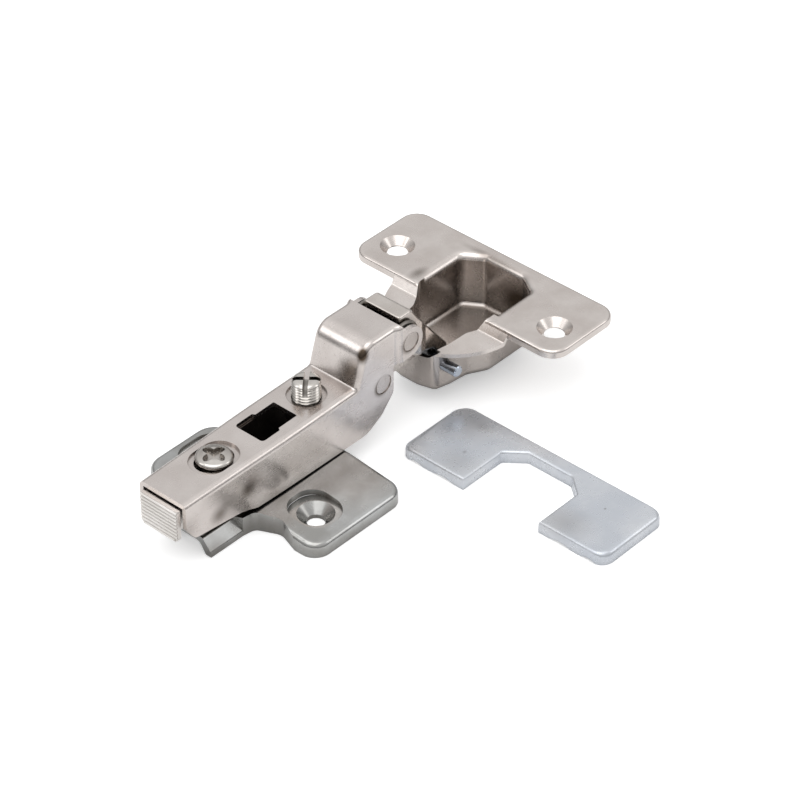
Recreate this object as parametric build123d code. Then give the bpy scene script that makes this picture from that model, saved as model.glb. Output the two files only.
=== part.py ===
from build123d import *
import os
from math import hypot

# Concealed cup hinge with a clip-on mounting plate and a loose cover cap.
# Millimetres. X runs from the release lever towards the cup, +Z is up, and Y is the
# width. The origin is midway between the two screw holes of the mounting plate, on
# the face that lies against the cabinet. The hinge is modelled fully open.

# Running and seating clearances
pivot_play = 0.06
seat_play = 0.02
sheet_gap = 0.3
slide_gap = 0.15
tilt_play = 0.1
slide_travel = 1.5

# Mounting plate
plate_sheet = 1.5
plate_hole_spacing = 32.0
plate_hole_diameter = 4.3
plate_sink_diameter = 8.6
plate_half_span = 25.0
plate_wing_rear_x = -9.6
plate_wing_front_x = 19.5
plate_corner_radius = 4.2
plate_far_span = 23.8
plate_far_rear_x = -14.3
plate_far_front_x = 8.2
plate_far_corner_radius = 5.0
plate_waist_x = -13.5
plate_edge_fillet = 1.4
plate_centre_z = 5.0
plate_edge_z = 3.3
plate_centre_half = 8.4
plate_dish_half_width = 5.6
plate_dish_outer_y = 21.6
plate_dish_inner_y = 9.8
plate_dish_depth = 1.0
plate_far_dish_reach = 2.2
rail_top_z = 4.3
rail_flat_half = 4.3
rail_half_width = 6.9
rail_edge_z = 1.3
rail_slot_length = 6.0
hook_half_width = 3.3
hook_pin_x = 22.5
hook_pin_radius = 1.25

# Hinge arm, one pressed piece
arm_sheet = 1.2
arm_rear_x = -30.5
arm_rear_half = 7.0
arm_half = 7.5
arm_rear_top_z = 18.6
arm_fold_x = 22.6
arm_fold_z = 19.7
arm_bottom_z = 5.3
crank_top_z = 29.7
crank_rear_x = 25.7
crank_front_x = 36.9
crank_bend = 4.5
arm_front_x = 34.8
arm_edge_bend = 1.4
ear_joggle_x = 35.4
ear_half = 8.3
ear_radius = 3.7
slot_half = 5.6
window_rear_x = -4.0
window_step_x = 1.4
window_front_x = 7.6
window_rear_half = 4.25
window_front_half = 3.55

# What lies under the arm's rear end follows it
rail_rear_x = arm_rear_x + 7.0
rail_slot_rear_x = arm_rear_x + 9.1

# Depth screw and its dished slot
depth_head_diameter = 8.4
depth_head_height = 1.5
depth_shank_diameter = 5.0
depth_dish_rear_x = -21.0
depth_dish_front_x = -8.6
depth_screw_x = (depth_dish_rear_x + depth_dish_front_x) / 2
depth_dish_width = 9.3
depth_dish_depth = 0.55
depth_slot_margin = 1.3

# Side screw
side_screw_x = 14.4
side_screw_diameter = 6.8
side_screw_proud = 4.4
side_screw_shoulder = 0.8
side_screw_slot_width = 1.1
side_screw_slot_depth = 2.4
side_dish_diameter = 9.3
side_dish_depth = 0.5

# Carriage inside the arm
carriage_sheet = 1.1
carriage_half = 5.2
carriage_rear_x = arm_rear_x + 5.5
carriage_front_x = 25.4

# Release lever
lever_face_x = arm_rear_x - 1.3
lever_face_thickness = 1.0
lever_face_half = 5.55
lever_face_bottom_z = 8.4
lever_face_top_z = 16.9
lever_rib_count = 9
lever_rib_height = 0.3
lever_half = 3.1
lever_pin_x = arm_rear_x + 7.9
lever_pin_z = 13.6
lever_pin_radius = 1.1

# Pivots of the linkage
front_pivot_drop = 5.7
front_pivot = (39.9, crank_top_z - front_pivot_drop)
rear_pivot = (31.6, 16.3)
near_pivot = (51.6, 10.8)
far_pivot = (54.8, 8.0)
arm_pin_head_radius = 2.4
arm_pin_radius = 1.7
cup_pin_radius = 1.4
near_pin_end_y = -12.2

# Links
link_sheet = 1.2
outer_link_half = 5.4
outer_link_low_half = 4.7
outer_link_joggle_x = 46.6
inner_link_half = 3.2
inner_eye_hole_radius = 2.8
inner_eye_shift = 0.75
inner_eye_rise = 0.6

# Closing springs
spring_wire = 1.1
spring_mean_radius = 3.75

# Cup
cup_wall = 1.0
cup_bottom_z = 3.6
cup_bottom_bend = 2.0
cup_floor_bend = 1.2
cup_far_x = 82.4
cup_side_half = 11.6
cup_nose_half = 8.6
cup_circle_x = 65.3
cup_circle_radius = 17.5
cup_flange_under_z = 16.64
cup_flange_thickness = 2.0
cup_flange_near_x = 62.5
cup_flange_far_x = 85.4
cup_flange_half = 31.2
cup_flange_corner = 4.6
cup_mouth_bend = 1.8
cup_flange_bend = 0.8
cup_wing_slope = 0.089
cup_wing_drop = 2.55
cup_nose_rim_z = 13.1
cup_hole_x = 71.0
cup_hole_spacing = 48.0
cup_hole_diameter = 4.8
cup_sink_diameter = 8.3

# Cover cap
cap_near_x = 30.5
cap_far_x = 51.4
cap_centre_y = -43.05
cap_half = 29.45
cap_top_z = 3.1
cap_sheet = 0.7
cap_notch_half = 10.9
cap_notch_floor_half = 6.2
cap_notch_floor_x = 47.4
cap_notch_shoulder_x = 43.6
cap_corner_radius = 4.2
cap_edge_bend = 0.9


def outline(points):
    """Closed face on the sketch plane from (u, v, corner radius) points."""
    corners = [(u, v) for u, v, radius in points]
    radii = [radius for u, v, radius in points]
    return make_face(FilletPolyline(*corners, radius=radii, close=True))


def plan(points, z_from, z_to):
    """Outline in X and Y, raised between two heights."""
    return extrude(Pos(0, 0, z_from) * outline(points), amount=z_to - z_from, dir=(0, 0, 1))


def side(points, half_width):
    """Outline in X and Z, extruded to both sides of the middle plane."""
    face = Pos(0, half_width, 0) * (Plane.XZ * outline(points))
    return extrude(face, amount=2 * half_width, dir=(0, -1, 0))


def cross(points, x_from, x_to):
    """Outline in Y and Z, extruded along X."""
    face = Pos(x_from, 0, 0) * (Plane.YZ * outline(points))
    return extrude(face, amount=x_to - x_from, dir=(1, 0, 0))


def both_sides(half):
    """Outline from its half on the +Y side, mirrored about the middle plane."""
    return half + [(x, -y, radius) for x, y, radius in reversed(half)]


def inset(points, wall):
    """The same outline moved inwards by a wall, with the bends kept concentric."""
    count = len(points)
    pairs = [(points[i], points[(i + 1) % count]) for i in range(count)]
    turn = 1 if sum(a[0] * b[1] - b[0] * a[1] for a, b in pairs) > 0 else -1
    moved = []
    for i in range(count):
        before, here, after = points[i - 1], points[i], points[(i + 1) % count]
        first = Vector(here[0] - before[0], here[1] - before[1]).normalized()
        second = Vector(after[0] - here[0], after[1] - here[1]).normalized()
        inward_first = Vector(-first.Y, first.X) * turn
        inward_second = Vector(-second.Y, second.X) * turn
        shift = (inward_first + inward_second) * (wall / (1 + inward_first.dot(inward_second)))
        convex = turn * (first.X * second.Y - first.Y * second.X) > 0
        radius = max(here[2] - wall, 0) if convex else here[2] + wall
        moved.append((here[0] + shift.X, here[1] + shift.Y, radius))
    return moved


def across(pivot, radius, y_from, y_to):
    """Round bar along Y through a point given in X and Z."""
    bar = Cylinder(radius, y_to - y_from, align=(Align.CENTER, Align.CENTER, Align.MIN))
    return Pos(pivot[0], y_from, pivot[1]) * (Rot(-90, 0, 0) * bar)


def upright(x, y, radius, z_from, z_to):
    """Round bar along Z."""
    bar = Cylinder(radius, z_to - z_from, align=(Align.CENTER, Align.CENTER, Align.MIN))
    return Pos(x, y, z_from) * bar


def block(x_from, x_to, half_width, z_from, z_to):
    """Box about the middle plane."""
    size = (x_to - x_from, 2 * half_width, z_to - z_from)
    return Pos((x_from + x_to) / 2, 0, (z_from + z_to) / 2) * Box(*size)


def stadium(x_from, x_to, width, z_from, z_to):
    """Long round-ended block along X."""
    radius = width / 2 * 0.999
    half = [(x_from, width / 2, radius), (x_to, width / 2, radius)]
    return plan(both_sides(half), z_from, z_to)


def sunk_hole(x, y, top_z, hole_diameter, sink_diameter, depth):
    """Cutter for a screw hole with a conical countersink."""
    sink_depth = (sink_diameter - hole_diameter) / 2
    shaft = upright(x, y, hole_diameter / 2, top_z - depth, top_z + 1)
    cone = Cone(hole_diameter / 2, sink_diameter / 2, sink_depth,
                align=(Align.CENTER, Align.CENTER, Align.MAX))
    return shaft + Pos(x, y, top_z) * cone + upright(x, y, sink_diameter / 2, top_z, top_z + 1)


def rounded(shape, radius, wanted):
    """Fillet on the edges that a test picks."""
    edges = [edge for edge in shape.edges() if wanted(edge)]
    return fillet(edges, radius)


def arm_top(x):
    """Height of the arm's sloping top face."""
    slope = (arm_fold_z - arm_rear_top_z) / (arm_fold_x - arm_rear_x)
    return arm_rear_top_z + slope * (x - arm_rear_x)


def along_x(edge):
    """True for an edge that runs some way along X."""
    return edge.bounding_box().size.X > 0.05


# Points of a link are given along and above the line between its pivots.
def on_line(start, end, along, above):
    length = hypot(end[0] - start[0], end[1] - start[1])
    step_x = (end[0] - start[0]) / length
    step_z = (end[1] - start[1]) / length
    return start[0] + along * step_x - above * step_z, start[1] + along * step_z + above * step_x


def plate_outline():
    """Plan of the plate: the near wing, the shorter far wing set further back, and the arcs to the rail."""
    rear_x = plate_wing_rear_x
    far_x = plate_far_rear_x
    return [
        (plate_waist_x, -rail_half_width, 0),
        (rear_x - 0.7, -rail_half_width - 0.5, 2.0),
        (rear_x + 1.9, -rail_half_width - 6.1, 3.0),
        (rear_x, -rail_half_width - 11.6, 0),
        (rear_x, -plate_half_span, plate_corner_radius),
        (plate_wing_front_x, -plate_half_span, plate_corner_radius),
        (plate_wing_front_x, plate_dish_inner_y + 0.7, 0),
        (plate_far_front_x, plate_dish_inner_y + 3.7, 0),
        (plate_far_front_x, plate_far_span, plate_far_corner_radius),
        (far_x, plate_far_span, plate_far_corner_radius),
        (far_x, rail_half_width + 8.6, 0),
        (far_x - 3.2, rail_half_width + 1.6, 1.0),
        (far_x - 5.2, rail_half_width, 0),
    ]


def make_mounting_plate():
    roof = [
        (-plate_half_span - 1, -1, 0),
        (-plate_half_span - 1, plate_edge_z, 0),
        (-plate_centre_half, plate_centre_z, 3),
        (plate_centre_half, plate_centre_z, 3),
        (plate_half_span + 1, plate_edge_z, 0),
        (plate_half_span + 1, -1, 0),
    ]
    hump = [
        (-rail_half_width, -1, 0),
        (-rail_half_width, rail_edge_z, 0.8),
        (-rail_flat_half, rail_top_z, 1.4),
        (rail_flat_half, rail_top_z, 1.4),
        (rail_half_width, rail_edge_z, 0.8),
        (rail_half_width, -1, 0),
    ]
    body_z = plate_centre_z + 1
    behind_x = rail_rear_x - 1
    ahead_x = plate_wing_front_x + 1
    wing_form = plan(plate_outline(), 0, body_z) & cross(roof, behind_x, ahead_x)
    wing_form = rounded(wing_form, plate_edge_fillet, lambda edge: abs(edge.center().Y) > plate_far_span - 3
                        and edge.center().Z > plate_edge_z - 0.4
                        and edge.bounding_box().size.Z < 0.7)
    rail_form = cross(hump, rail_rear_x, plate_waist_x + 3) & block(-60, 60, 20, 0, body_z)
    low_roof = [(y, z - plate_sheet, radius) for y, z, radius in roof]
    hollow = plan(inset(plate_outline(), plate_sheet), -1, body_z) & cross(low_roof, behind_x, ahead_x)
    rail_hollow = cross([(y * (1 - plate_sheet / rail_half_width), z - plate_sheet, radius)
                         for y, z, radius in hump], rail_rear_x - 1, plate_waist_x + 6)
    plate = wing_form + rail_form - hollow - rail_hollow
    for way in (-1, 1):
        hole_y = way * plate_hole_spacing / 2
        reach = plate_far_dish_reach if way > 0 else 0
        bend = plate_dish_half_width - 0.8
        dish = [(-plate_dish_half_width - reach, way * plate_dish_inner_y, bend),
                (plate_dish_half_width, way * plate_dish_inner_y, bend),
                (plate_dish_half_width, way * plate_dish_outer_y, bend),
                (-plate_dish_half_width - reach, way * plate_dish_outer_y, bend)]
        floor_z = (plate_centre_z + plate_edge_z) / 2 - plate_dish_depth
        seat = plan(dish, 0, floor_z)
        seat_wall = plan(dish, floor_z, body_z)
        plate = plate + seat - seat_wall
        plate = plate - sunk_hole(0, hole_y, floor_z, plate_hole_diameter, plate_sink_diameter, body_z)
    hook = [
        (plate_wing_front_x - 1, plate_centre_z - plate_sheet, 0),
        (hook_pin_x + hook_pin_radius + seat_play + plate_sheet, plate_centre_z - plate_sheet, 1.6),
        (hook_pin_x + hook_pin_radius + seat_play + plate_sheet,
         plate_centre_z + 2 * hook_pin_radius + 2 * seat_play + plate_sheet, 1.6),
        (hook_pin_x - 0.4, plate_centre_z + 2 * hook_pin_radius + 2 * seat_play + plate_sheet, 0.4),
        (hook_pin_x - 0.4, plate_centre_z + 2 * hook_pin_radius + 2 * seat_play, 0),
        (hook_pin_x + hook_pin_radius + seat_play,
         plate_centre_z + 2 * hook_pin_radius + 2 * seat_play, 0.1),
        (hook_pin_x + hook_pin_radius + seat_play, plate_centre_z, 0.1),
        (plate_wing_front_x - 1, plate_centre_z, 0),
    ]
    plate = plate + side(hook, hook_half_width)
    slot_front_x = rail_slot_rear_x + rail_slot_length
    plate = plate - block(rail_slot_rear_x, slot_front_x, lever_half + sheet_gap, -1, body_z)
    return plate


def arm_plan(wall):
    half = [
        (arm_rear_x - (5 if wall else 0), arm_rear_half, 0),
        (0, arm_half, 60),
        (ear_joggle_x, arm_half, 2.0),
        (ear_joggle_x + 1.3, ear_half, 2.0),
        (front_pivot[0] + ear_radius + (5 if wall else 0), ear_half, 0),
    ]
    return inset(both_sides(half), wall) if wall else both_sides(half)


def make_hinge_arm():
    ear_front_x = front_pivot[0] + ear_radius
    ear_top_z = front_pivot[1] + ear_radius
    ear_low_z = front_pivot[1] - ear_radius
    ear_corner = ear_radius - 0.02
    profile = [
        (arm_rear_x, arm_rear_top_z, 0),
        (arm_fold_x, arm_fold_z, 0.5),
        (crank_rear_x, crank_top_z, crank_bend),
        (crank_front_x, crank_top_z, 0),
        (crank_front_x + 1.6, ear_top_z, 0),
        (ear_front_x, ear_top_z, ear_corner),
        (ear_front_x, ear_low_z, ear_corner),
        (arm_front_x, ear_low_z - 0.6, 0.8),
        (arm_front_x, arm_bottom_z + 7.1, 1.5),
        (arm_front_x - 3.9, arm_bottom_z + 2.8, 3.0),
        (arm_fold_x + 3.4, arm_bottom_z, 6.0),
        (-9.0, arm_bottom_z + 0.3, 4.0),
        (-14.0, arm_bottom_z + 1.9, 3.0),
        (arm_rear_x + 2.4, arm_bottom_z + 3.2, 1.6),
        (arm_rear_x, arm_bottom_z + 6.6, 1.6),
    ]
    back_x = arm_rear_x - 10
    cover = [
        (back_x, arm_top(back_x), 0),
        (arm_fold_x, arm_fold_z, 0.5),
        (crank_rear_x, crank_top_z, crank_bend),
        (ear_front_x + 12, crank_top_z, 0),
        (ear_front_x + 12, -10, 0),
        (back_x, -10, 0),
    ]
    form = plan(arm_plan(0), -5, 40) & side(cover, ear_half + 2)
    form = rounded(form, arm_edge_bend, lambda edge: along_x(edge)
                   and abs(edge.center().Y) > arm_rear_half - 0.5
                   and edge.center().Z > arm_top(edge.center().X) - 0.6)
    form = form & side(profile, ear_half + 2)
    arm = form - (plan(arm_plan(arm_sheet), -6, 41) & side(inset(cover, arm_sheet), ear_half + 2))
    arm = arm - block(crank_front_x, ear_front_x + 2, slot_half, ear_top_z - 3, crank_top_z + 1)
    top_z = arm_top(depth_screw_x)
    window = both_sides([
        (window_rear_x, window_rear_half, 0.9),
        (window_step_x, window_rear_half, 0.2),
        (window_step_x + 0.4, window_front_half, 0.2),
        (window_front_x, window_front_half, 0.3),
    ])
    arm = arm - plan(window, top_z - 4, top_z + 3)
    arm = arm - stadium(depth_dish_rear_x, depth_dish_front_x, depth_dish_width,
                        top_z - depth_dish_depth, top_z + 2)
    arm = arm - stadium(depth_dish_rear_x + depth_slot_margin, depth_dish_front_x - depth_slot_margin,
                        depth_dish_width - 2 * depth_slot_margin, top_z - 4, top_z + 2)
    side_top_z = arm_top(side_screw_x)
    arm = arm - upright(side_screw_x, 0, side_dish_diameter / 2, side_top_z - side_dish_depth, side_top_z + 2)
    arm = arm - upright(side_screw_x, 0, side_screw_diameter / 2 + pivot_play, side_top_z - 4, side_top_z + 2)
    for pivot in (front_pivot, rear_pivot):
        arm = arm - across(pivot, arm_pin_head_radius + seat_play, -20, 20)
    return arm


def make_arm_pin(pivot, half_length, neck_half):
    pin = across(pivot, arm_pin_head_radius, -half_length, half_length)
    ring = across(pivot, arm_pin_head_radius + 1, -neck_half, neck_half)
    return pin - (ring - across(pivot, arm_pin_radius, -neck_half, neck_half))


def make_arm_carriage():
    drop = arm_sheet + slide_gap
    low_z = plate_centre_z + sheet_gap
    profile = [
        (carriage_rear_x, arm_top(carriage_rear_x) - drop, 0.6),
        (carriage_front_x - 4, arm_top(carriage_front_x - 4) - drop, 3.0),
        (carriage_front_x, arm_top(carriage_front_x) - drop - 6, 2.0),
        (carriage_front_x, low_z, 1.0),
        (carriage_rear_x, low_z, 2.0),
    ]
    form = side(profile, carriage_half)
    form = rounded(form, 0.8, lambda edge: along_x(edge)
                   and edge.center().Z > arm_top(edge.center().X) - drop - 0.3)
    cavity = [
        (carriage_rear_x - 9, arm_top(carriage_rear_x - 9) - drop - carriage_sheet, 0),
        (carriage_front_x - 4, arm_top(carriage_front_x - 4) - drop - carriage_sheet, 2.0),
        (carriage_front_x, arm_top(carriage_front_x) - drop - carriage_sheet - 6.8, 0),
        (carriage_front_x + 9, low_z - 9, 0),
        (carriage_rear_x - 9, low_z - 9, 0),
    ]
    carriage = form - side(cavity, carriage_half - carriage_sheet)
    mouth = both_sides([
        (window_rear_x - 2.2, carriage_half - carriage_sheet - 0.2, 1.0),
        (window_front_x + 1.0, carriage_half - carriage_sheet - 0.2, 1.0),
    ])
    carriage = carriage - plan(mouth, plate_centre_z + 5, crank_top_z)
    side_neck = side_screw_diameter - 2 * side_screw_shoulder
    for screw_x, shank, travel in ((depth_screw_x, depth_shank_diameter, 0.01),
                                   (side_screw_x, side_neck, slide_travel)):
        roof_z = arm_top(screw_x) - drop - carriage_sheet
        hole_half = shank / 2 + pivot_play + travel
        boss_half = hole_half + carriage_sheet
        boss = stadium(screw_x - boss_half, screw_x + boss_half, 2 * (boss_half - travel),
                       roof_z - 2 * carriage_sheet, roof_z + 0.4)
        hole = stadium(screw_x - hole_half, screw_x + hole_half, 2 * (hole_half - travel),
                       roof_z - 5, roof_z + 5)
        carriage = carriage + boss - hole
    carriage = carriage - across((lever_pin_x, lever_pin_z), lever_pin_radius + seat_play, -20, 20)
    hook_z = plate_centre_z + hook_pin_radius + seat_play
    carriage = carriage - across((hook_pin_x, hook_z), hook_pin_radius + seat_play, -20, 20)
    rear_gap = block(carriage_rear_x - 1, carriage_rear_x + 6.5, lever_half + sheet_gap,
                     low_z - 1, crank_top_z)
    return carriage - rear_gap


def make_carriage_front_pin():
    hook_z = plate_centre_z + hook_pin_radius + seat_play
    return across((hook_pin_x, hook_z), hook_pin_radius, -carriage_half, carriage_half)


def make_release_lever():
    face_mid_z = (lever_face_bottom_z + lever_face_top_z) / 2
    face_back_x = lever_face_x + lever_face_thickness
    face = cross([
        (-lever_face_half, lever_face_bottom_z, 1.4),
        (lever_face_half, lever_face_bottom_z, 1.4),
        (lever_face_half, lever_face_top_z, 0.3),
        (-lever_face_half, lever_face_top_z, 0.3),
    ], lever_face_x, face_back_x)
    pitch = (lever_face_top_z - lever_face_bottom_z) / lever_rib_count
    for index in range(lever_rib_count):
        rib_z = lever_face_bottom_z + pitch * (index + 0.5)
        rib_half = lever_face_half - (0.9 if index == 0 else 0.15)
        rib = [
            (lever_face_x + 0.05, rib_z - pitch * 0.36, 0),
            (lever_face_x - lever_rib_height, rib_z - pitch * 0.12, 0),
            (lever_face_x - lever_rib_height, rib_z + pitch * 0.12, 0),
            (lever_face_x + 0.05, rib_z + pitch * 0.36, 0),
        ]
        face = face + side(rib, rib_half)
    claw_front_x = rail_slot_rear_x + 2.6
    claw_low_z = rail_top_z - plate_sheet - 1.3
    body = [
        (face_back_x - 0.2, lever_pin_z + 1.8, 0.3),
        (lever_pin_x, lever_pin_z + 2.5, 1.0),
        (lever_pin_x + 2.6, lever_pin_z + 1.0, 2.0),
        (claw_front_x, rail_top_z + 3, 1.0),
        (claw_front_x, claw_low_z, 0.4),
        (rail_slot_rear_x - 1.1, claw_low_z, 0.3),
        (rail_slot_rear_x - 0.9, rail_top_z - plate_sheet - 0.3, 0.1),
        (rail_slot_rear_x + 0.4, rail_top_z - plate_sheet - 0.3, 0.1),
        (rail_slot_rear_x + 0.4, rail_top_z + 2.2, 1.0),
        (face_back_x + 2.0, lever_face_bottom_z + 0.8, 2.0),
        (face_back_x - 0.2, lever_face_bottom_z + 0.8, 0.3),
    ]
    lever = side(body, lever_half)
    pocket = block(lever_pin_x - 3.2, lever_pin_x + 6, lever_half - 1.2, lever_pin_z - 3.2, lever_pin_z + 5)
    lever = lever - pocket
    lever = lever - across((lever_pin_x, lever_pin_z), lever_pin_radius + pivot_play, -20, 20)
    return face + lever


def make_lever_pin():
    return across((lever_pin_x, lever_pin_z), lever_pin_radius, -carriage_half, carriage_half)


def make_lever_spring():
    wire = 0.35
    turns_radius = lever_pin_radius + wire + 0.15
    coil_half = lever_half - 1.2 - wire - 0.2
    coil = Helix(pitch=coil_half * 2 / 3, height=coil_half * 2, radius=turns_radius)
    profile = Plane(origin=coil @ 0, z_dir=coil % 0) * Circle(wire)
    spring = sweep(profile, path=coil)
    return Pos(lever_pin_x, coil_half, lever_pin_z) * (Rot(90, 0, 0) * spring)


def star_recess(x, y, top_z, radius, depth):
    """Cutter for a cross recess with a round middle."""
    arm_width = radius * 0.42
    cutter = upright(x, y, radius * 0.45, top_z - depth, top_z + 1)
    for angle in (0, 45, 90, 135):
        reach = radius if angle % 90 == 0 else radius * 0.72
        bar = Box(2 * reach, arm_width if angle % 90 == 0 else arm_width * 0.6, depth + 1)
        cutter = cutter + Pos(x, y, top_z - depth / 2 + 0.5) * (Rot(0, 0, angle + 25) * bar)
    return cutter


def make_depth_screw():
    dish_z = arm_top(depth_screw_x) - depth_dish_depth
    under_z = dish_z + 0.25
    low_z = arm_top(depth_screw_x) - arm_sheet - slide_gap - carriage_sheet - 3
    head = upright(depth_screw_x, 0, depth_head_diameter / 2, under_z, under_z + depth_head_height)
    head = rounded(head, 0.55, lambda edge: edge.center().Z > under_z + depth_head_height - 0.1)
    screw = head + upright(depth_screw_x, 0, depth_shank_diameter / 2, low_z, under_z + 0.1)
    return screw - star_recess(depth_screw_x, 0, under_z + depth_head_height, 2.5, 1.1)


def make_depth_washer():
    dish_z = arm_top(depth_screw_x) - depth_dish_depth
    low_z = arm_top(depth_screw_x) - arm_sheet - slide_gap
    slot_half_width = depth_dish_width / 2 - depth_slot_margin
    ring = upright(depth_screw_x, 0, slot_half_width - 0.25, low_z + tilt_play, dish_z + 0.1)
    ring = ring + upright(depth_screw_x, 0, depth_head_diameter / 2 - 0.4, dish_z + 0.1, dish_z + 0.23)
    return ring - upright(depth_screw_x, 0, depth_shank_diameter / 2 + pivot_play, low_z - 1, dish_z + 1)


def make_side_screw():
    top_z = arm_top(side_screw_x) + side_screw_proud
    seat_z = arm_top(side_screw_x) - arm_sheet - slide_gap
    low_z = seat_z - carriage_sheet - 2.2
    screw = upright(side_screw_x, 0, side_screw_diameter / 2, seat_z + tilt_play, top_z)
    screw = chamfer(screw.edges().sort_by(Axis.Z)[-1], 0.5)
    neck_radius = side_screw_diameter / 2 - side_screw_shoulder
    screw = screw + upright(side_screw_x, 0, neck_radius, low_z, seat_z + 0.5)
    for angle in (45, 135):
        slot = Box(side_screw_diameter + 2, side_screw_slot_width, side_screw_slot_depth)
        place = Pos(side_screw_x, 0, top_z - side_screw_slot_depth / 2 + 0.01)
        screw = screw - place * (Rot(0, 0, angle) * slot)
    return screw


def make_outer_link():
    def at(along, above):
        return on_line(front_pivot, far_pivot, along, above)

    span = hypot(far_pivot[0] - front_pivot[0], far_pivot[1] - front_pivot[1])
    tail_x = crank_front_x + 2.1
    top_z = crank_top_z - 0.2
    near_along = span - 4.0
    web = [
        (tail_x, top_z, 0.4),
        (front_pivot[0] + 3.4, top_z, 1.4),
        (front_pivot[0] + 5.6, top_z - 3.2, 2.5),
        at(span - 2.6, 4.35) + (0.9,),
        at(span - 0.8, 3.2) + (0.9,),
        at(span + 3.0, 3.2) + (2.9,),
    ]
    profile = web + [
        at(span + 3.0, -2.2) + (2.1,),
        at(span - 2.15, -2.2) + (1.6,),
        at(span - 2.3, 1.3) + (0.8,),
        at(near_along - 2.8, 1.3) + (1.5,),
        at(10.0, -2.2) + (3.0,),
        at(2.0, -3.0) + (3.0,),
        at(-3.0, -3.0) + (2.9,),
        at(-3.0, 1.4) + (0.8,),
    ]
    widths = both_sides([
        (front_pivot[0] - 6, outer_link_half, 0),
        (outer_link_joggle_x, outer_link_half, 1.0),
        (outer_link_joggle_x + 2.0, outer_link_low_half, 1.0),
        (far_pivot[0] + 6, outer_link_low_half, 0),
    ])
    form = plan(widths, -5, 40) & side(profile, outer_link_half + 2)
    form = rounded(form, 0.7, lambda edge: along_x(edge)
                   and abs(edge.center().Y) > outer_link_low_half - 0.3
                   and edge.center().X > tail_x
                   and edge.center().X < far_pivot[0] + 1
                   and edge.center().Z > far_pivot[1] + (far_pivot[0] + 4 - edge.center().X) * 0.9)
    hollow_widths = both_sides([
        (front_pivot[0] - 16, outer_link_half, 0),
        (outer_link_joggle_x, outer_link_half, 1.0),
        (outer_link_joggle_x + 2.0, outer_link_low_half, 1.0),
        (far_pivot[0] + 16, outer_link_low_half, 0),
    ])
    under_web = [(tail_x - 8, top_z, 0)] + web[1:5] + [
        at(span + 4.0, 3.2) + (0,),
        at(span + 12, -6) + (0,),
        at(span, -20) + (0,),
        (tail_x - 8, -20, 0),
    ]
    hollow = plan(inset(hollow_widths, link_sheet), -6, 41) & side(inset(under_web, link_sheet), outer_link_half)
    link = form - hollow
    link = link - across(front_pivot, arm_pin_radius + pivot_play, -20, 20)
    return link - across(far_pivot, cup_pin_radius + pivot_play, -20, 20)


def make_inner_link():
    eye = on_line(rear_pivot, near_pivot, inner_eye_shift, inner_eye_rise)
    profile = [
        (eye[0] - 3.9, eye[1] - 3.6, 3.2),
        (eye[0] - 3.9, eye[1] + 3.7, 3.4),
        (near_pivot[0] - 6.4, eye[1] + 1.6, 5.0),
        (near_pivot[0] - 2.3, near_pivot[1] + 4.4, 2.2),
        (near_pivot[0] - 0.9, near_pivot[1] + 2.4, 0),
        (near_pivot[0] + 2.2, near_pivot[1] + 2.3, 2.0),
        (near_pivot[0] + 2.2, near_pivot[1] - 2.3, 2.1),
        (near_pivot[0] - 2.35, near_pivot[1] - 2.3, 2.1),
        (near_pivot[0] - 2.35, near_pivot[1] + 2.35, 0),
        (near_pivot[0] - 4.0, near_pivot[1] + 2.7, 1.0),
        (near_pivot[0] - 8.0, near_pivot[1] + 2.2, 6.0),
    ]
    form = side(profile, inner_link_half)
    hollow = side([
        (eye[0] - 12, eye[1] + 3.7 - link_sheet, 0),
        (eye[0] + 1, eye[1] + 3.7 - link_sheet, 3),
        (near_pivot[0] - 6.8, eye[1] + 1.6 - link_sheet, 4),
        (near_pivot[0] - 4.6, near_pivot[1] + 2.4, 0),
        (near_pivot[0] - 6.4, near_pivot[1] - 6, 0),
        (eye[0] - 12, near_pivot[1] - 6, 0),
    ], inner_link_half - link_sheet)
    link = form - hollow
    link = link - across(eye, inner_eye_hole_radius, -20, 20)
    return link - across(near_pivot, cup_pin_radius + pivot_play, -20, 20)


def make_closing_spring():
    """Hairpin spring of each ear: round the front pin, under the crank, on the inner link."""
    springs = []
    top_z = front_pivot[1] + spring_mean_radius
    low_z = front_pivot[1] - spring_mean_radius
    front_x = front_pivot[0] + spring_mean_radius
    bend = spring_mean_radius - 0.01
    leg_y = outer_link_half - 0.1
    coil_y = outer_link_half + 0.1 + spring_wire / 2
    for way in (-1, 1):
        path = FilletPolyline(
            (front_pivot[0] - 7.5, way * leg_y, top_z),
            (front_pivot[0] - 3.4, way * leg_y, top_z),
            (front_pivot[0] - 1.6, way * coil_y, top_z),
            (front_x, way * coil_y, top_z),
            (front_x, way * coil_y, low_z),
            (front_pivot[0] - 1.6, way * coil_y, low_z),
            (front_pivot[0] - 3.4, way * leg_y, low_z),
            (front_pivot[0] - 4.9, way * leg_y, low_z),
            (front_pivot[0] - 4.9, way * (leg_y - 3.2), low_z),
            radius=[0.8, 0.8, bend, bend, 0.8, 0.6, 0.7],
        )
        profile = Plane(origin=path @ 0, z_dir=path % 0) * Circle(spring_wire / 2)
        springs.append(sweep(profile, path=path))
    return Compound(children=[Solid(spring.solids()[0].wrapped) for spring in springs])


def cup_outline():
    nose_x = cup_circle_x - cup_circle_radius
    return both_sides([
        (nose_x - 0.05, 2.7, 8.0),
        (nose_x + 1.3, 7.4, 2.2),
        (near_pivot[0] + 2.0, cup_nose_half - 0.1, 4.0),
        (near_pivot[0] + 6.9, cup_nose_half + 0.4, 3.0),
        (cup_flange_near_x + 0.7, cup_side_half, 4.0),
        (cup_far_x - 3.7, cup_side_half, 3.2),
        (cup_far_x, cup_side_half / 2 + 0.2, 3.2),
    ])


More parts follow.
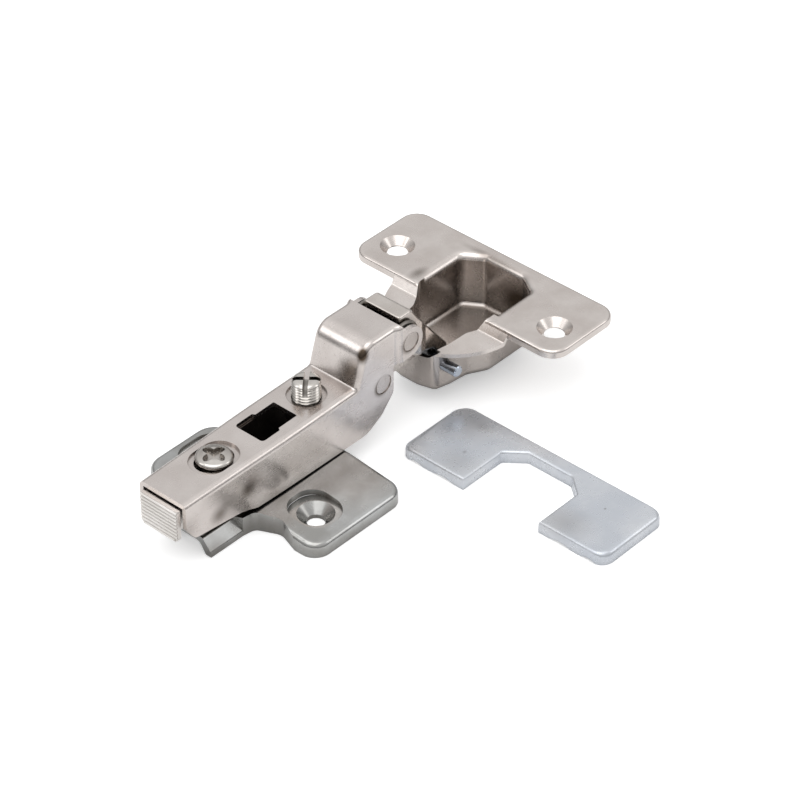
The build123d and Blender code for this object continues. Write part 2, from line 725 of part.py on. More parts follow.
def wing_z(x):
    """Height of the sloping wing beside the nose."""
    return cup_flange_under_z + cup_flange_thickness - cup_wing_drop + cup_wing_slope * (x - cup_flange_near_x)


def make_cup():
    flange_top_z = cup_flange_under_z + cup_flange_thickness
    nose_x = cup_circle_x - cup_circle_radius
    bowl = plan(cup_outline(), cup_bottom_z, cup_flange_under_z + 0.5)
    bowl = rounded(bowl, cup_bottom_bend, lambda edge: edge.center().Z < cup_bottom_z + 0.01)
    wing_edge_x = cup_flange_near_x - 1.3
    wall_top = [
        (nose_x - 3, cup_bottom_z - 1, 0),
        (cup_far_x + 3, cup_bottom_z - 1, 0),
        (cup_far_x + 3, cup_flange_under_z + 1, 0),
        (cup_flange_near_x + 0.2, cup_flange_under_z + 1, 0),
        (cup_flange_near_x + 0.2, wing_z(cup_flange_near_x) - 0.3, 0),
        (nose_x - 3, wing_z(nose_x - 3) - 0.3, 0),
    ]
    bowl = bowl & side(wall_top, cup_flange_half)
    flange_form = plan(both_sides([
        (cup_flange_near_x, cup_flange_half, cup_flange_corner),
        (cup_flange_far_x, cup_flange_half, cup_flange_corner),
    ]), cup_flange_under_z, flange_top_z)
    flange_form = rounded(flange_form, cup_flange_bend, lambda edge: edge.center().Z > flange_top_z - 0.01)
    flange = plan(both_sides([
        (nose_x - 5, cup_flange_half + 1, 0),
        (cup_flange_far_x + 5, cup_flange_half + 1, 0),
    ]), cup_flange_under_z, flange_top_z)
    inside = plan(inset(cup_outline(), cup_wall), cup_bottom_z + cup_wall, 40)
    inside = rounded(inside, cup_floor_bend, lambda edge: edge.center().Z < cup_bottom_z + cup_wall + 0.01)
    flange = flange - inside
    flange = rounded(flange, cup_mouth_bend, lambda edge: edge.center().Z > flange_top_z - 0.01
                     and abs(edge.center().Y) < cup_side_half
                     and nose_x < edge.center().X < cup_far_x)
    flange = flange & flange_form
    wing_sheet = side([
        (nose_x - 2, wing_z(nose_x - 2), 0),
        (wing_edge_x, wing_z(wing_edge_x), 0.6),
        (cup_flange_near_x + 0.6, flange_top_z, 1.2),
        (cup_flange_near_x + 3, flange_top_z, 0),
        (cup_flange_near_x + 3, cup_flange_under_z, 0),
        (cup_flange_near_x, cup_flange_under_z, 0.4),
        (wing_edge_x + 0.4, wing_z(wing_edge_x) - cup_wall, 0.6),
        (nose_x - 2, wing_z(nose_x - 2) - cup_wall, 0),
    ], cup_circle_radius)
    disc = upright(cup_circle_x, 0, cup_circle_radius, 0, 40)
    cup = bowl + flange + (wing_sheet & disc)
    cup = cup - inside
    rim = cross([
        (-7.9, 40, 0), (-7.9, cup_nose_rim_z + 1.9, 1.0), (-5.6, cup_nose_rim_z, 2.0),
        (5.6, cup_nose_rim_z, 2.0), (7.9, cup_nose_rim_z + 1.9, 1.0), (7.9, 40, 0),
    ], nose_x - 5, near_pivot[0] - 1.2)
    cup = cup - rim
    for way in (-1, 1):
        cup = cup - sunk_hole(cup_hole_x, way * cup_hole_spacing / 2, flange_top_z,
                              cup_hole_diameter, cup_sink_diameter, cup_flange_thickness + 1)
    cup = cup - across(near_pivot, cup_pin_radius + seat_play, -20, 20)
    return cup - across(far_pivot, cup_pin_radius + seat_play, -cup_nose_half + 0.5, 20)


def make_cup_pin_near():
    pin = across(near_pivot, cup_pin_radius, near_pin_end_y, cup_nose_half - 0.1)
    return chamfer(pin.edges().sort_by(Axis.Y)[0], 0.3)


def make_cup_pin_far():
    return across(far_pivot, cup_pin_radius, -cup_nose_half + 0.55, cup_nose_half + 0.1)


def make_cup_cover_cap():
    def cap_points():
        return [
            (cap_near_x, -cap_half, 2.0),
            (cap_far_x, -cap_half, cap_corner_radius),
            (cap_far_x, cap_half, cap_corner_radius),
            (cap_near_x, cap_half, 2.0),
            (cap_near_x, cap_notch_half, 2.0),
            (cap_notch_shoulder_x, cap_notch_half, 1.6),
            (cap_notch_floor_x, cap_notch_floor_half, 1.6),
            (cap_notch_floor_x, -cap_notch_floor_half, 1.6),
            (cap_notch_shoulder_x, -cap_notch_half, 1.6),
            (cap_near_x, -cap_notch_half, 2.0),
        ]

    shell = plan(cap_points(), 0, cap_top_z)
    shell = rounded(shell, cap_edge_bend, lambda edge: edge.center().Z > cap_top_z - 0.01)
    cap = shell - plan(inset(cap_points(), cap_sheet), -1, cap_top_z - cap_sheet)
    return Pos(0, cap_centre_y, 0) * cap


def make_all():
    return {
        "mounting_plate": make_mounting_plate(),
        "hinge_arm": make_hinge_arm(),
        "arm_pin_front": make_arm_pin(front_pivot, ear_half - 0.2, ear_half - arm_sheet),
        "arm_pin_rear": make_arm_pin(rear_pivot, arm_half - 0.2, arm_half - arm_sheet),
        "arm_carriage": make_arm_carriage(),
        "carriage_front_pin": make_carriage_front_pin(),
        "release_lever": make_release_lever(),
        "lever_pin": make_lever_pin(),
        "lever_spring": make_lever_spring(),
        "depth_screw": make_depth_screw(),
        "depth_washer": make_depth_washer(),
        "side_screw": make_side_screw(),
        "outer_link": make_outer_link(),
        "inner_link": make_inner_link(),
        "closing_spring": make_closing_spring(),
        "cup": make_cup(),
        "cup_pin_near": make_cup_pin_near(),
        "cup_pin_far": make_cup_pin_far(),
        "cup_cover_cap": make_cup_cover_cap(),
    }


os.makedirs("parts", exist_ok=True)
for name, shape in make_all().items():
    export_step(shape, f"parts/{name}.step")
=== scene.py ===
import bpy
import bmesh
from math import cos, pi, radians, sin, tan, tau
from mathutils import Matrix, Vector


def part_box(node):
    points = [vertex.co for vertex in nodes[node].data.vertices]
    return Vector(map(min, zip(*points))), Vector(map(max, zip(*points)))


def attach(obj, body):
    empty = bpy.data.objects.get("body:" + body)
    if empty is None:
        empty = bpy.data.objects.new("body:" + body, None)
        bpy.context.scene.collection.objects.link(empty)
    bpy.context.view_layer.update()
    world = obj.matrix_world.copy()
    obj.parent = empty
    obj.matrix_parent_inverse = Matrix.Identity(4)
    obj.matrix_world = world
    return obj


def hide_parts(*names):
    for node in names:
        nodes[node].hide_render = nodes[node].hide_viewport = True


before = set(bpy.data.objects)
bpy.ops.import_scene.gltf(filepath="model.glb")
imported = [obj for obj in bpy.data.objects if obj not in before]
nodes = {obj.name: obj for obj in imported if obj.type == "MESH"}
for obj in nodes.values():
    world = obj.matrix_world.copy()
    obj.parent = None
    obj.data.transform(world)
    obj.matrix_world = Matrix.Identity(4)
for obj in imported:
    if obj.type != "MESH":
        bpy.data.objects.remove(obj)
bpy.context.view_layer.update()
mm = 0.001

# Camera at the photograph's viewing angle
view_turn = radians(47.97)
view_rise = radians(37.79)
view_distance = 0.7762
focal_px = 3500.0
image_px = 800.0
sensor_width = 36.0
origin_px = (263.4, 493.3)

right = Vector((cos(view_turn), -sin(view_turn), 0))
up = Vector((sin(view_turn) * sin(view_rise), cos(view_turn) * sin(view_rise), cos(view_rise)))
back = right.cross(up)
aside = (origin_px[0] - image_px / 2) / focal_px * view_distance
above = (image_px / 2 - origin_px[1]) / focal_px * view_distance
place = view_distance * back - aside * right - above * up
camera = bpy.data.objects.new("camera", bpy.data.cameras.new("camera"))
camera.data.sensor_width = sensor_width
camera.data.lens = focal_px / image_px * sensor_width
camera.data.clip_start = 0.01
camera.matrix_world = Matrix.Translation(place) @ Matrix((right, up, back)).transposed().to_4x4()
bpy.context.scene.collection.objects.link(camera)
bpy.context.scene.camera = camera
bpy.context.scene.view_settings.view_transform = "Standard"


class Nodes:
    """Short way to add and link shader nodes."""

    def __init__(self, tree):
        self.tree = tree

    def add(self, kind, settings=None, **inputs):
        node = self.tree.nodes.new(kind)
        for name, value in (settings or {}).items():
            setattr(node, name, value)
        for name, value in inputs.items():
            self.set(node, name.replace("_", " "), value)
        return node

    def set(self, node, name, value):
        socket = node.inputs[name]
        if isinstance(value, bpy.types.NodeSocket):
            self.tree.links.new(value, socket)
        else:
            socket.default_value = value

    def noise(self, vector, scale, detail=3.0, roughness=0.55):
        node = self.add("ShaderNodeTexNoise", Vector=vector, Scale=scale, Detail=detail, Roughness=roughness)
        return node.outputs[0]

    def stretch(self, vector, scale):
        node = self.add("ShaderNodeMapping", Vector=vector, Scale=scale)
        return node.outputs[0]

    def between(self, value, low, high, to_low, to_high, curve="LINEAR"):
        node = self.add("ShaderNodeMapRange", {"clamp": True, "interpolation_type": curve})
        for index, number in enumerate((value, low, high, to_low, to_high)):
            self.set(node, index, number)
        return node.outputs[0]

    def mix(self, factor, first, second):
        node = self.add("ShaderNodeMix", {"data_type": "RGBA"})
        self.set(node, 0, factor)
        self.set(node, 6, first)
        self.set(node, 7, second)
        return node.outputs[2]

    def math(self, operation, first, second):
        node = self.add("ShaderNodeMath", {"operation": operation})
        self.set(node, 0, first)
        self.set(node, 1, second)
        return node.outputs[0]


def material(name):
    made = bpy.data.materials.new(name)
    made.use_nodes = True
    made.node_tree.nodes.clear()
    return made, Nodes(made.node_tree)


def rgb(red, green, blue):
    return (red, green, blue, 1.0)


# Colour of the painted shade spots
painted_shade_colour = rgb(0.10, 0.075, 0.055)
# Colour of the painted shade that darkens corners and hollows
default_corner_shade_colour = rgb(0.075, 0.065, 0.052)
grain_height = 0.004 * mm
cloud_scale, patch_scale, grain_scale = 110.0, 300.0, 2400.0


def plated(name, pale, deep, rough=0.28, rough_spread=0.05, brush=None, corner_shade=0.55, corner_shade_colour=default_corner_shade_colour,
           corner_shade_reach=6.0, corner_shade_span=(0.12, 0.85), painted_shades=(), metallic=1.0, grain=0.5):
    """Plated metal: cloudy colour, fine grain, uneven gloss, painted shade in deep corners, soft spots of
    painted shade.

    corner_shade is how dark the painted shade in corners gets, corner_shade_reach how far a corner's wall
    counts, in mm, and corner_shade_span the openness between which it fades. brush stretches the grain into
    lines.
    """
    made, add = material(name)
    where = add.add("ShaderNodeTexCoord").outputs["Object"]
    cloud = add.noise(where, cloud_scale, 4.0)
    fine = add.noise(where, grain_scale, 2.0)
    colour = add.mix(add.between(cloud, 0.36, 0.64, 0.0, 1.0), deep, pale)
    colour = add.mix(add.between(fine, 0.3, 0.7, 0.0, 0.14), colour, deep)
    # Painted shade and painted reflection: soft dark spots mixed into the base colour
    for centre, reach, strength in painted_shades:
        local = add.add("ShaderNodeMapping", Vector=where,
                        Location=[-middle / size for middle, size in zip(centre, reach)],
                        Scale=[1 / (size * mm) for size in reach])
        away = add.add("ShaderNodeVectorMath", {"operation": "LENGTH"})
        add.set(away, 0, local.outputs[0])
        painted_shade_spot = add.between(away.outputs["Value"], 0.0, 1.0, strength, 0.0, "SMOOTHSTEP")
        colour = add.mix(painted_shade_spot, colour, painted_shade_colour)
    # Painted shade: the colour darkens where ambient occlusion finds corners, hollows and gaps between parts
    corner = add.add("ShaderNodeAmbientOcclusion", {"samples": 8}, Distance=corner_shade_reach * mm)
    shade = add.between(corner.outputs["AO"], corner_shade_span[0], corner_shade_span[1], corner_shade, 0.0)
    colour = add.mix(shade, colour, corner_shade_colour)
    patch = add.noise(where, patch_scale, 5.0, 0.6)
    gloss = add.between(patch, 0.3, 0.7, rough - rough_spread, rough + rough_spread)
    height = fine
    if brush:
        lines = add.noise(add.stretch(where, brush), 1.0, 3.0, 0.6)
        height = add.math("ADD", lines, add.math("MULTIPLY", fine, 0.7))
        gloss = add.math("ADD", gloss, add.between(lines, 0.4, 0.7, 0.0, 0.04))
    bump = add.add("ShaderNodeBump", Strength=grain, Distance=grain_height, Height=height)
    shader = add.add("ShaderNodeBsdfPrincipled", Metallic=metallic, Roughness=gloss, Normal=bump.outputs[0])
    add.set(shader, "Base Color", colour)
    add.add("ShaderNodeOutputMaterial", Surface=shader.outputs[0])
    return made


# Painted shade spots, standing for dark reflections in dents and bends, shadows round raised pin heads and
# shade inside the cup: centre and reach in mm, then strength; over 1 keeps the middle of a shade even
arm_painted_shades = (
    ((-20.6, -7.0, 10.6), (4.0, 3.0, 3.4), 0.72),
    ((-12.0, -7.0, 12.2), (3.6, 3.0, 3.4), 0.85),
    ((-30.0, -7.0, 12.0), (5.0, 3.0, 5.0), 0.30),
    ((25.4, -6.7, 27.6), (2.2, 1.9, 3.2), 1.6),
    ((23.2, -4.0, 22.8), (3.8, 4.6, 3.8), 0.62),
    ((39.3, -7.5, 23.8), (3.3, 4.0, 3.3), 2.6),
    ((31.0, -7.5, 16.1), (3.3, 4.0, 3.3), 2.6),
)
cup_painted_shades = (
    ((81.0, -5.0, 10.0), (11.0, 9.0, 8.0), 1.25),
    ((77.7, 8.6, 5.8), (0.9, 0.9, 0.9), 1.0),
    ((66.0, 13.0, 17.6), (4.2, 2.4, 3.4), 0.75),
    ((81.9, 3.0, 18.4), (1.7, 13.0, 1.6), 0.60),
    ((63.6, -15.6, 16.6), (3.0, 1.6, 1.8), 0.55),
    ((72.0, -2.0, 5.0), (15.0, 13.0, 6.0), 0.62),
)
plate_painted_shades = (
    ((10.0, -12.0, 3.0), (16.0, 5.0, 5.0), 0.45),
    ((-12.0, -12.0, 2.0), (9.0, 7.0, 5.0), 0.50),
    ((-22.0, -8.5, 1.5), (8.0, 5.0, 4.5), 0.62),
)
cap_painted_shades = (
    ((47.6, -22.5, 3.1), (2.6, 5.0, 3.0), 0.16),
    ((34.0, -58.0, 3.1), (8.0, 10.0, 3.0), 0.30),
    ((34.0, -27.0, 3.1), (7.0, 8.0, 3.0), 0.20),
    ((43.6, -62.0, 3.1), (0.5, 0.4, 0.5), 0.60),
    ((38.0, -26.0, 3.1), (0.8, 0.6, 0.5), 0.40),
)
# Finishes: each sets how strong and how far-reaching its painted corner shade is; the cap's painted shade is
# blue-grey
nickel = plated("satin_nickel", rgb(0.78, 0.725, 0.69), rgb(0.68, 0.62, 0.585), 0.25, corner_shade=0.97,
                corner_shade_reach=16.0, corner_shade_span=(0.14, 0.80), painted_shades=cup_painted_shades)
arm_nickel = plated("satin_nickel_arm", rgb(0.75, 0.695, 0.665), rgb(0.665, 0.61, 0.58), 0.24,
                    brush=(60.0, 1500.0, 1500.0), painted_shades=arm_painted_shades)
plate_nickel = plated("plate_nickel", rgb(0.54, 0.545, 0.54), rgb(0.40, 0.395, 0.38), 0.24, corner_shade=0.85,
                      painted_shades=plate_painted_shades)
inner_steel = plated("carriage_steel", rgb(0.22, 0.19, 0.17), rgb(0.12, 0.10, 0.09), 0.36, corner_shade=0.9)
link_nickel = plated("link_nickel", rgb(0.76, 0.71, 0.67), rgb(0.60, 0.55, 0.51), 0.26, corner_shade=0.85)
lever_nickel = plated("lever_nickel", rgb(0.82, 0.79, 0.765), rgb(0.70, 0.67, 0.64), 0.30, corner_shade=0.85,
                      corner_shade_reach=0.8)
bright_nickel = plated("bright_nickel", rgb(0.70, 0.67, 0.635), rgb(0.50, 0.465, 0.43), 0.20, 0.04, corner_shade=0.98,
                       corner_shade_reach=2.2)
pin_nickel = plated("pin_nickel", rgb(0.66, 0.61, 0.58), rgb(0.52, 0.47, 0.44), 0.27)
zinc = plated("zinc_pin", rgb(0.66, 0.72, 0.80), rgb(0.48, 0.53, 0.61), 0.22, corner_shade=0.4)
spring_steel = plated("spring_steel", rgb(0.34, 0.32, 0.30), rgb(0.22, 0.20, 0.18), 0.32, corner_shade=0.8)
cap_metal = plated("cap_metal", rgb(0.70, 0.72, 0.755), rgb(0.60, 0.63, 0.68), 0.28, 0.03,
                   corner_shade=0.5, corner_shade_reach=2.0, corner_shade_colour=rgb(0.10, 0.125, 0.15),
                   painted_shades=cap_painted_shades, metallic=0.65, grain=0.08)

finishes = {
    "mounting_plate": plate_nickel, "hinge_arm": arm_nickel, "arm_carriage": inner_steel,
    "arm_pin_front": pin_nickel, "arm_pin_rear": pin_nickel, "carriage_front_pin": pin_nickel,
    "release_lever": lever_nickel, "lever_pin": pin_nickel, "lever_spring": spring_steel,
    "depth_screw": bright_nickel, "depth_washer": bright_nickel, "side_screw": bright_nickel,
    "outer_link": link_nickel, "inner_link": link_nickel, "closing_spring": spring_steel,
    "cup": nickel, "cup_pin_near": zinc, "cup_pin_far": zinc, "cup_cover_cap": cap_metal,
}
for name, finish in finishes.items():
    mesh = nodes[name].data
    mesh.materials.clear()
    mesh.materials.append(finish)


def mesh_piece(name, build, finish, body):
    """New piece from a bmesh, on a body, with its finish."""
    mesh = bpy.data.meshes.new(name)
    form = bmesh.new()
    build(form)
    form.to_mesh(mesh)
    form.free()
    piece = bpy.data.objects.new(name, mesh)
    bpy.context.scene.collection.objects.link(piece)
    mesh.materials.append(finish)
    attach(piece, body)
    return piece


def skin(form, lower, upper):
    """Closed band of faces between two rings of as many points."""
    for index in range(len(lower)):
        after = (index + 1) % len(lower)
        form.faces.new((lower[index], lower[after], upper[after], upper[index]))


def closed_skin(form, rings):
    """Bands between all the rings, with a face over each end."""
    for lower, upper in zip(rings, rings[1:]):
        skin(form, lower, upper)
    form.faces.new(list(reversed(rings[0])))
    form.faces.new(rings[-1])


# Floor and lamps
def white_stage(name, lift):
    """Pale paper that takes the shadow; the lift makes it white to the camera alone."""
    made, add = material(name)
    path = add.add("ShaderNodeLightPath")
    where = add.add("ShaderNodeTexCoord").outputs["Object"]
    paper = add.mix(add.between(add.noise(where, 30.0), 0.3, 0.7, 0.0, 1.0),
                    rgb(0.90, 0.90, 0.90), rgb(0.92, 0.92, 0.92))
    diffuse = add.add("ShaderNodeBsdfDiffuse", Color=paper)
    glow = add.add("ShaderNodeEmission", Color=rgb(1, 1, 1),
                   Strength=add.math("MULTIPLY", path.outputs["Is Camera Ray"], lift))
    both = add.add("ShaderNodeAddShader")
    add.tree.links.new(diffuse.outputs[0], both.inputs[0])
    add.tree.links.new(glow.outputs[0], both.inputs[1])
    add.add("ShaderNodeOutputMaterial", Surface=both.outputs[0])
    return made


floor_mesh = bpy.data.meshes.new("floor")
floor_half = 3.0
floor_z = -0.0001
floor_lift = 0.42
floor_mesh.from_pydata([(-floor_half, -floor_half, floor_z), (floor_half, -floor_half, floor_z),
                        (floor_half, floor_half, floor_z), (-floor_half, floor_half, floor_z)],
                       [], [(0, 1, 2, 3)])
floor_mesh.materials.append(white_stage("floor_paper", floor_lift))
floor = bpy.data.objects.new("floor", floor_mesh)
bpy.context.scene.collection.objects.link(floor)


lamp_centre = Vector((0.02, -0.01, 0.01))
lamp_distance = 1.1


def softbox(name, toward, size, power):
    """Area lamp that looks at the object from a direction."""
    lamp = bpy.data.objects.new(name, bpy.data.lights.new(name, "AREA"))
    lamp.data.shape = "RECTANGLE"
    lamp.data.size, lamp.data.size_y = size
    lamp.data.energy = power
    way = Vector(toward).normalized()
    lamp.matrix_world = (Matrix.Translation(lamp_centre + way * lamp_distance)
                         @ way.to_track_quat("Z", "Y").to_matrix().to_4x4())
    bpy.context.scene.collection.objects.link(lamp)


softbox("top_softbox", (-0.30, -0.10, 1.0), (1.1, 1.1), 4.2)
softbox("front_softbox", (0.60, -0.62, 0.52), (0.30, 0.55), 0.60)
softbox("left_softbox", (-0.61, 0.53, 0.59), (0.30, 0.55), 0.68)

# The studio: a grey room with a pale ceiling that the metal reflects, white behind the object
world = bpy.data.worlds.new("studio")
bpy.context.scene.world = world
world.use_nodes = True
world.node_tree.nodes.clear()
sky = Nodes(world.node_tree)
direction = sky.add("ShaderNodeTexCoord").outputs["Generated"]
height = sky.add("ShaderNodeSeparateXYZ", Vector=direction).outputs["Z"]
ground_height, wall_height = 0.02, 0.45
low = sky.mix(sky.between(height, ground_height, wall_height, 0.0, 1.0),
              rgb(0.16, 0.16, 0.16), rgb(0.66, 0.66, 0.66))
dome = sky.mix(sky.between(height, wall_height, 1.0, 0.0, 1.0), low, rgb(0.95, 0.95, 0.95))
path = sky.add("ShaderNodeLightPath")
shown = sky.mix(path.outputs["Is Camera Ray"], dome, rgb(1, 1, 1))
light = sky.add("ShaderNodeBackground", Color=shown, Strength=1.0)
sky.add("ShaderNodeOutputWorld", Surface=light.outputs[0])

# Threaded side screw in place of the plain one
side_screw_low, side_screw_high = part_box("side_screw")
side_screw_x = (side_screw_low[0] + side_screw_high[0]) / 2


def threaded_screw(form):
    """Neck, thread and bevelled crown, as one turned surface."""
    radius = (side_screw_high[0] - side_screw_low[0]) / 2
    bottom, top = side_screw_low[2], side_screw_high[2]
    neck_radius = radius - 0.8 * mm
    neck_length = 3.4 * mm
    crown_height = 0.75 * mm
    pitch = 0.75 * mm
    depth = 0.40 * mm
    rows_a_turn = 8
    around = 96
    shoulder = bottom + neck_length
    rings = []
    levels = [(bottom, neck_radius * 0.9, False), (bottom + 0.3 * mm, neck_radius, False),
              (shoulder, neck_radius, False), (shoulder, radius - depth, False)]
    steps = int((top - crown_height - shoulder) / (pitch / rows_a_turn))
    for step in range(1, steps):
        levels.append((shoulder + step * pitch / rows_a_turn, radius, True))
    levels += [(top - 0.7 * mm, radius - 0.05 * mm, False), (top - 0.5 * mm, radius - 0.15 * mm, False),
               (top - 0.1 * mm, radius - 0.75 * mm, False), (top, radius - 1.2 * mm, False)]
    for level, reach, cut in levels:
        ring = []
        for index in range(around):
            angle = tau * index / around
            r = reach
            if cut:
                phase = ((level - shoulder) / pitch - index / around) % 1.0
                r = reach - depth * abs(2 * phase - 1)
            ring.append(form.verts.new((side_screw_x + r * cos(angle), r * sin(angle), level)))
        rings.append(ring)
    closed_skin(form, rings)


def cut_cross(piece, angles, width, depth):
    """Straight driver slots across the top of the side screw."""
    top = max(vertex.co.z for vertex in piece.data.vertices)
    tool_length = 12 * mm
    for angle in angles:
        tool_mesh = bpy.data.meshes.new("slot_tool")
        form = bmesh.new()
        bmesh.ops.create_cube(form, size=1.0)
        form.transform(Matrix.Translation((side_screw_x, 0, top))
                       @ Matrix.Rotation(angle, 4, "Z")
                       @ Matrix.Diagonal((tool_length, width, 2 * depth, 1)))
        form.to_mesh(tool_mesh)
        form.free()
        tool = bpy.data.objects.new("slot_tool", tool_mesh)
        bpy.context.scene.collection.objects.link(tool)
        cutter = piece.modifiers.new("slot", "BOOLEAN")
        cutter.operation = "DIFFERENCE"
        cutter.solver = "EXACT"
        cutter.object = tool
        depsgraph = bpy.context.evaluated_depsgraph_get()
        cut = bpy.data.meshes.new_from_object(piece.evaluated_get(depsgraph))
        piece.modifiers.clear()
        old = piece.data
        piece.data = cut
        bpy.data.meshes.remove(old)
        bpy.data.objects.remove(tool)
        bpy.data.meshes.remove(tool_mesh)


slot_angles = (radians(38), radians(132))
slot_width = 1.2 * mm
slot_depth = 2.6 * mm
side_screw = mesh_piece("side_screw_threaded", threaded_screw, bright_nickel,
                        "side_screw_body")
cut_cross(side_screw, slot_angles, slot_width, slot_depth)
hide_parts("side_screw")

# Depth screw: pan head with a wide star recess, in place of the plain one
depth_low, depth_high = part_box("depth_screw")


def star_head_screw(form):
    """Turned shank and rounded head; the star is pressed into the head's grid."""
    centre_x = (depth_low[0] + depth_high[0]) / 2
    head_radius = (depth_high[0] - depth_low[0]) / 2
    head_height = 1.5 * mm
    head_side = 0.5 * mm
    dome_height, dome_inset = 0.75 * mm, 0.95 * mm
    dome_rows = 6
    crown_rise, crown_rows = 0.25 * mm, 8
    shank_radius = 2.5 * mm
    shank_chamfer = 0.4 * mm
    star_reach = 3.2 * mm
    star_core, star_arm, star_taper = 1.45, 1.6, 1.8
    star_wall, star_depth = 0.2 * mm, 1.1 * mm
    around = 144
    rows = 26
    under = depth_high[2] - head_height
    profile = [(depth_low[2], shank_radius - shank_chamfer), (depth_low[2] + shank_chamfer, shank_radius),
               (under, shank_radius), (under, head_radius - 0.25 * mm), (under + 0.2 * mm, head_radius),
               (under + head_side, head_radius)]
    for step in range(1, dome_rows + 1):
        turn = step / dome_rows * pi / 2
        profile.append((under + head_side + dome_height * sin(turn),
                        head_radius - dome_inset * (1 - cos(turn))))
    top_radius = profile[-1][1]
    for step in range(1, rows):
        rise = crown_rise / crown_rows if step <= crown_rows else 0.0
        profile.append((profile[-1][0] + rise, top_radius * (1 - step / rows)))
    rings = []
    for level, reach in profile:
        ring = []
        for index in range(around):
            angle = tau * index / around
            sink = 0.0
            if reach < star_reach and level > under:
                edge = (star_core + star_arm * abs(cos(2 * angle)) ** star_taper) * mm
                sink = min(max((edge - reach) / star_wall, 0.0), 1.0) * star_depth
            ring.append(form.verts.new((centre_x + reach * cos(angle), reach * sin(angle), level - sink)))
        rings.append(ring)
    closed_skin(form, rings)


depth_screw = mesh_piece("depth_screw_star", star_head_screw, bright_nickel,
                         "depth_screw_body")
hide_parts("depth_screw")

# Cover cap: sharp corners at the notch, wide bends at both ends, in place of the plain one
cap_low, cap_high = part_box("cup_cover_cap")


def rounded_outline(corners, steps):
    """Closed outline through corners (x, y, radius), each rounded by an arc; radius 0 stays sharp."""
    points = []
    count = len(corners)
    for index, (x, y, radius) in enumerate(corners):
        here = Vector((x, y))
        before = (Vector(corners[index - 1][:2]) - here).normalized()
        after = (Vector(corners[(index + 1) % count][:2]) - here).normalized()
        turn = before.angle(after)
        if radius == 0:
            points.append(here)
            continue
        run = radius / tan(turn / 2)
        middle = here + (before + after).normalized() * (radius / sin(turn / 2))
        start, stop = here + before * run - middle, here + after * run - middle
        sweep = start.angle_signed(stop)
        for step in range(steps + 1):
            angle = -sweep * step / steps
            points.append(middle + Vector((start.x * cos(angle) - start.y * sin(angle),
                                           start.x * sin(angle) + start.y * cos(angle))))
    return points


def inward(points):
    """Mitred inward direction at each point of a counter-clockwise outline."""
    least_mitre = 0.3
    ways = []
    for index, here in enumerate(points):
        first = (here - points[index - 1]).normalized()
        second = (points[(index + 1) % len(points)] - here).normalized()
        normals = Vector((-first.y, first.x)), Vector((-second.y, second.x))
        way = (normals[0] + normals[1]).normalized()
        ways.append(way / max(way.dot(normals[0]), least_mitre))
    return ways


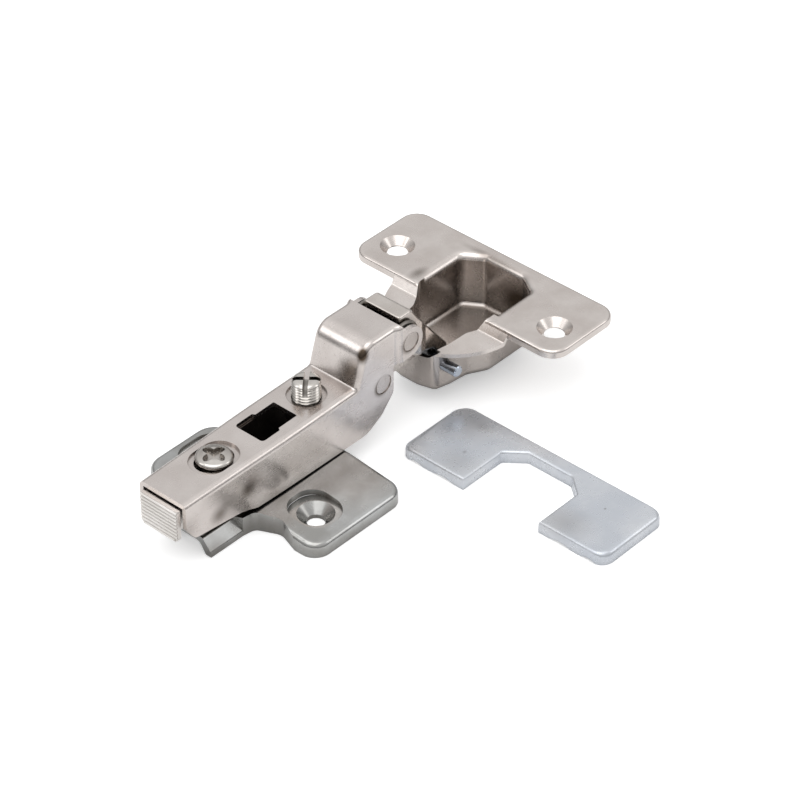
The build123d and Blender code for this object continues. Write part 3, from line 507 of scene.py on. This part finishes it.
def folded_cap(form):
    """Pressed cap: bent rim all round, open underneath, relief cuts in the near edges' lower rim."""
    near_x, far_x = cap_low[0], cap_high[0]
    low_y, high_y = cap_low[1], cap_high[1]
    middle_y = (low_y + high_y) / 2
    top = cap_high[2]
    notch, floor_half = 10.9 * mm, 6.2 * mm
    shoulder_x, floor_x = 43.6 * mm, 47.4 * mm
    notch_radius = 1.2 * mm
    arc_steps = 14
    point_spacing = 0.7 * mm
    mitre_room = 1.6 * mm
    same_place = 0.001 * mm
    sheet = 0.7 * mm
    bend_rows = 8
    tallest_bend = 1.5 * mm
    flat_border = 0.4 * mm
    outline = rounded_outline([
        (near_x, low_y, 3.2 * mm), (far_x, low_y, 2.6 * mm), (far_x, high_y, 3.8 * mm),
        (near_x, high_y, 2.4 * mm), (near_x, middle_y + notch, 0),
        (shoulder_x, middle_y + notch, notch_radius), (floor_x, middle_y + floor_half, notch_radius),
        (floor_x, middle_y - floor_half, notch_radius), (shoulder_x, middle_y - notch, notch_radius),
        (near_x, middle_y - notch, 0)], arc_steps)
    # extra points along the edges, for the relief cuts
    points = []
    for index, here in enumerate(outline):
        after = outline[(index + 1) % len(outline)]
        parts = max(1, int((after - here).length / point_spacing))
        points += [here.lerp(after, part / parts) for part in range(parts)]
    # none beside the sharp corners, where the fold is mitred
    sharp = [Vector((near_x, middle_y + notch)), Vector((near_x, middle_y - notch))]
    gaps = [[(point - corner).length for corner in sharp] for point in points]
    points = [point for point, away in zip(points, gaps)
              if all(gap < same_place or gap > mitre_room for gap in away)]
    ways = inward(points)

    def ring(offset, level):
        """Ring of points, each set inward by its offset and put at its level."""
        return [form.verts.new((*(point + way * offset(point)), level(point)))
                for point, way in zip(points, ways)]

    def bend(point):
        """Wide bend at the two ends, narrow along the rest."""
        narrow, widening, end_length = 0.7, 0.7, 4.0 * mm
        end = min(point.y - low_y, high_y - point.y)
        share = min(max((end_length - end) / end_length, 0.0), 1.0)
        return (narrow + widening * share * share * (3 - 2 * share)) * mm

    def foot(point):
        """Two shallow relief cuts in the lower rim of each near edge."""
        near_band = 1.5 * mm
        cut_places, cut_halves = (17.0 * mm, 25.0 * mm), (3.2 * mm, 2.2 * mm)
        cut_height, cut_steepness = 0.55 * mm, 1.4
        if point.x > near_x + near_band:
            return 0.0
        along = abs(point.y - middle_y)
        lift = sum(max(0.0, 1 - abs(along - centre) / half) for centre, half in zip(cut_places, cut_halves))
        return min(lift * cut_steepness, 1.0) * cut_height

    rings = [ring(lambda point: sheet, foot), ring(lambda point: 0.0, foot)]
    for step in range(bend_rows + 1):
        turn = step / bend_rows * pi / 2
        rings.append(ring(lambda point: bend(point) * (1 - cos(turn)),
                          lambda point: top - min(bend(point), tallest_bend) * (1 - sin(turn))))
    rings.append(ring(lambda point: bend(point) + flat_border, lambda point: top))
    inner = ring(lambda point: max(sheet, bend(point)), lambda point: top - sheet)
    for lower, upper in zip(rings, rings[1:]):
        skin(form, lower, upper)
    skin(form, inner, rings[0])
    form.faces.new(rings[-1])
    form.faces.new(list(reversed(inner)))


cap = mesh_piece("cup_cover_cap_folded", folded_cap, cap_metal, "plate")
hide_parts("cup_cover_cap")

# Smooth shading, sharp where faces meet at more than this angle
sharp_angle = radians(32)
for piece in list(nodes.values()) + [side_screw, depth_screw, cap]:
    for face in piece.data.polygons:
        face.use_smooth = True
    piece.data.set_sharp_from_angle(angle=sharp_angle)
